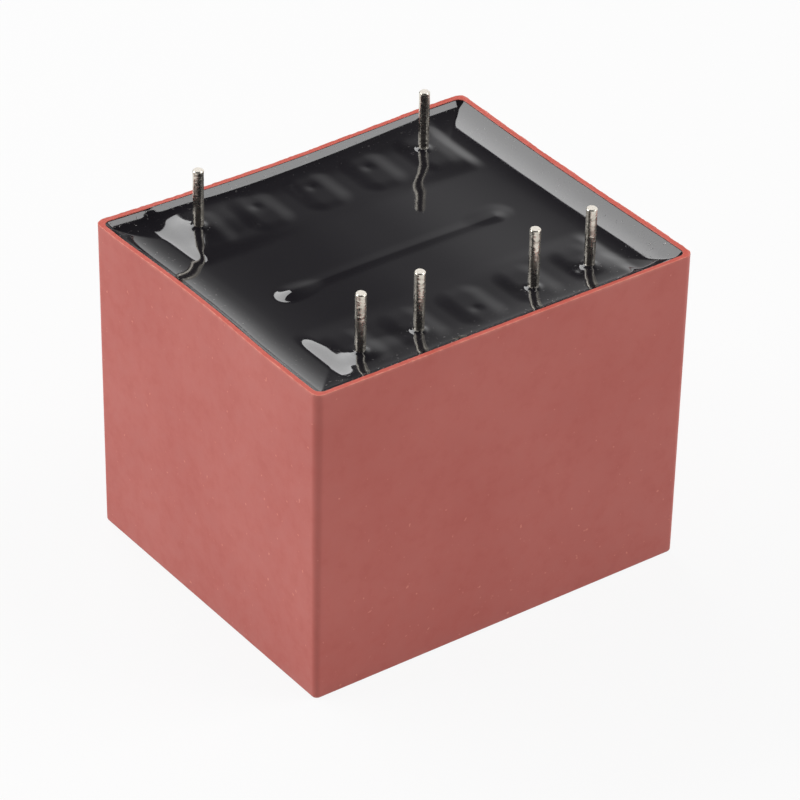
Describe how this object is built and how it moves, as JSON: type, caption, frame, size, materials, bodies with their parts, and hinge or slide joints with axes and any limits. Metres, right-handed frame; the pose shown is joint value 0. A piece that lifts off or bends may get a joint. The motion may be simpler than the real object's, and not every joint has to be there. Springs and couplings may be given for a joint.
{
  "type": "pcb transformer",
  "caption": "Potted mains transformer block for a circuit board: a moulded open-mouthed case filled with black resin, with straight round solder pins in rows.",
  "frame": {"origin": "centre of the closed face of the case, on the surface that it stands on", "axes": "+X along the rows of pins, +Y from the secondary row to the primary row, +Z along the pins, out of the mouth of the case"},
  "size_m": [0.0328, 0.0278, 0.03],
  "materials": {
    "case_plastic": "satin moulded red-brown plastic",
    "resin": "glossy poured black resin",
    "former_plastic": "moulded natural plastic",
    "core_steel": "varnished electrical steel sheet",
    "copper_wire": "enamelled copper wire",
    "winding_tape": "yellow polyester tape",
    "tinned_wire": "tinned wire, slightly dull",
    "solder": "bright solder"
  },
  "bodies": {
    "root": {"case": "case_plastic", "potting_resin": "resin", "coil_former": "former_plastic", "e_laminations": "core_steel", "i_laminations": "core_steel", "primary_winding": "copper_wire", "primary_tape": "winding_tape", "secondary_winding_inner": "copper_wire", "secondary_interlayer": "winding_tape", "secondary_winding_outer": "copper_wire", "secondary_tape": "winding_tape", "pin_1": "tinned_wire", "pin_5": "tinned_wire", "pin_6": "tinned_wire", "pin_7": "tinned_wire", "pin_9": "tinned_wire", "pin_10": "tinned_wire", "lead_out_1": "copper_wire", "lead_out_5": "copper_wire", "lead_out_6": "copper_wire", "lead_out_7": "copper_wire", "lead_out_9": "copper_wire", "lead_out_10": "copper_wire", "solder_joint_1": "solder", "solder_joint_5": "solder", "solder_joint_6": "solder", "solder_joint_7": "solder", "solder_joint_9": "solder", "solder_joint_10": "solder"}
  },
  "joints": []
}
